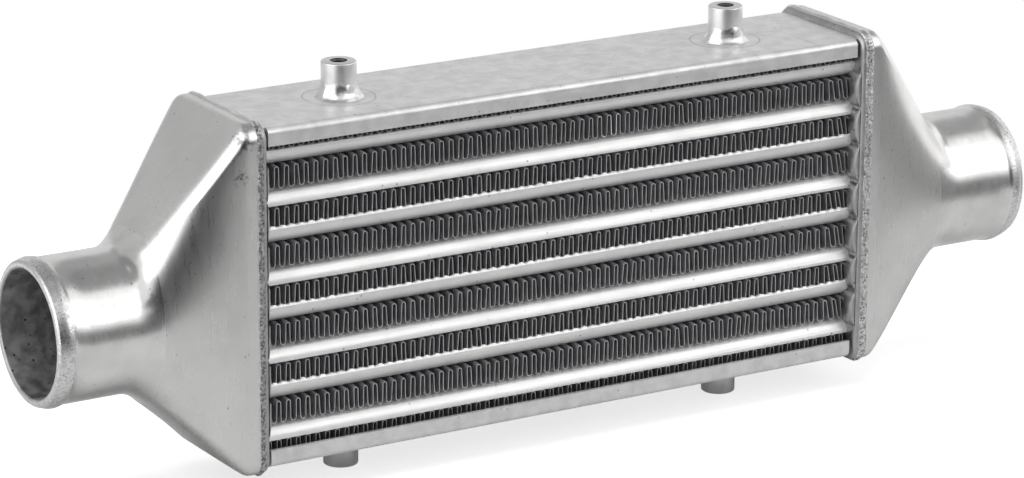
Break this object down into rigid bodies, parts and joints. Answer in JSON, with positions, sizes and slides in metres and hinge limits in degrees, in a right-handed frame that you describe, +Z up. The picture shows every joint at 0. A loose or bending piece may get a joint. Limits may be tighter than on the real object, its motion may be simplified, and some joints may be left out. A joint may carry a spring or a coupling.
{
  "type": "intercooler",
  "caption": "Air-to-air intercooler with a core of flat tubes and folded fins, tapered cast end tanks with beaded hose spigots, and threaded mounting bosses above and below.",
  "frame": {"origin": "centre of the core and of the whole part's bounding box, on the tubes' mid-plane", "axes": "+X along the tubes to the right tank's spigot, -Y out of the front face that the cooling air enters, +Z up through the top bosses"},
  "size_m": [0.45, 0.0638, 0.165],
  "materials": {
    "cast_aluminium": "satin",
    "plate_aluminium": "satin",
    "tube_aluminium": "satin",
    "fin_aluminium": "matt dark oxide",
    "inner_fin_aluminium": "matt",
    "weld_aluminium": "sanded weld",
    "boss_aluminium": "turned"
  },
  "bodies": {
    "root": {"tube_1": "tube_aluminium", "tube_2": "tube_aluminium", "tube_3": "tube_aluminium", "tube_4": "tube_aluminium", "tube_5": "tube_aluminium", "tube_6": "tube_aluminium", "tube_7": "tube_aluminium", "tube_8": "tube_aluminium", "turbulator_1": "inner_fin_aluminium", "turbulator_2": "inner_fin_aluminium", "turbulator_3": "inner_fin_aluminium", "turbulator_4": "inner_fin_aluminium", "turbulator_5": "inner_fin_aluminium", "turbulator_6": "inner_fin_aluminium", "turbulator_7": "inner_fin_aluminium", "turbulator_8": "inner_fin_aluminium", "fin_strip_1": "fin_aluminium", "fin_strip_2": "fin_aluminium", "fin_strip_3": "fin_aluminium", "fin_strip_4": "fin_aluminium", "fin_strip_5": "fin_aluminium", "fin_strip_6": "fin_aluminium", "fin_strip_7": "fin_aluminium", "fin_strip_8": "fin_aluminium", "fin_strip_9": "fin_aluminium", "side_plate_top": "plate_aluminium", "side_plate_bottom": "plate_aluminium", "header_left": "plate_aluminium", "header_right": "plate_aluminium", "tank_left": "cast_aluminium", "tank_right": "cast_aluminium", "tank_weld_left": "weld_aluminium", "tank_weld_right": "weld_aluminium", "bosses_top": "boss_aluminium", "bosses_bottom": "boss_aluminium", "boss_welds_top": "weld_aluminium", "boss_welds_bottom": "weld_aluminium"}
  },
  "joints": []
}
